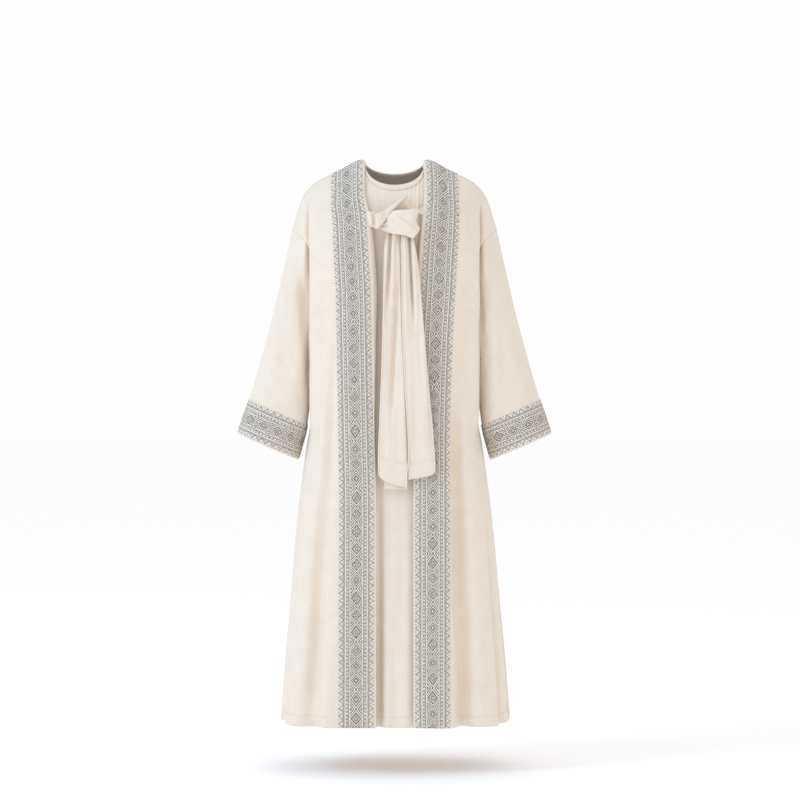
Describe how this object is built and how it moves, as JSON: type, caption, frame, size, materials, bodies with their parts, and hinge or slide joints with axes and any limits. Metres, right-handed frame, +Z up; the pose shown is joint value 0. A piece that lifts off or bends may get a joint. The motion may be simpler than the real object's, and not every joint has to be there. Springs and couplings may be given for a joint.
{
  "type": "child's abaya",
  "caption": "Open, full-length child's abaya with wide sleeves, woven trim bands, a round-necked inner front and a tie at the chest, in its worn form.",
  "frame": {"origin": "middle of the neck, level with the neck ends of the shoulder seams, on the plane of the garment's front and back", "axes": "+Z up from the hem to the neck, +Y from the front to the back, +X to the right of a viewer who faces the front"},
  "size_m": [0.5194, 0.2572, 0.9246],
  "materials": {
    "cream_cloth": "matte",
    "grey_trim": "matte"
  },
  "bodies": {
    "root": {"back": "cream_cloth", "back_neck_binding": "cream_cloth", "cuff_trim_left": "grey_trim", "cuff_trim_right": "grey_trim", "front_left": "cream_cloth", "front_right": "cream_cloth", "inner_front": "cream_cloth", "inner_neck_binding": "cream_cloth", "sleeve_left": "cream_cloth", "sleeve_right": "cream_cloth", "tail_left": "cream_cloth", "tail_right": "cream_cloth", "tail_under": "cream_cloth", "tie_knot": "cream_cloth", "tie_loop": "cream_cloth", "tie_strap_left": "cream_cloth", "tie_strap_right": "cream_cloth", "tie_wing": "cream_cloth", "trim_left": "grey_trim", "trim_right": "grey_trim"}
  },
  "joints": []
}
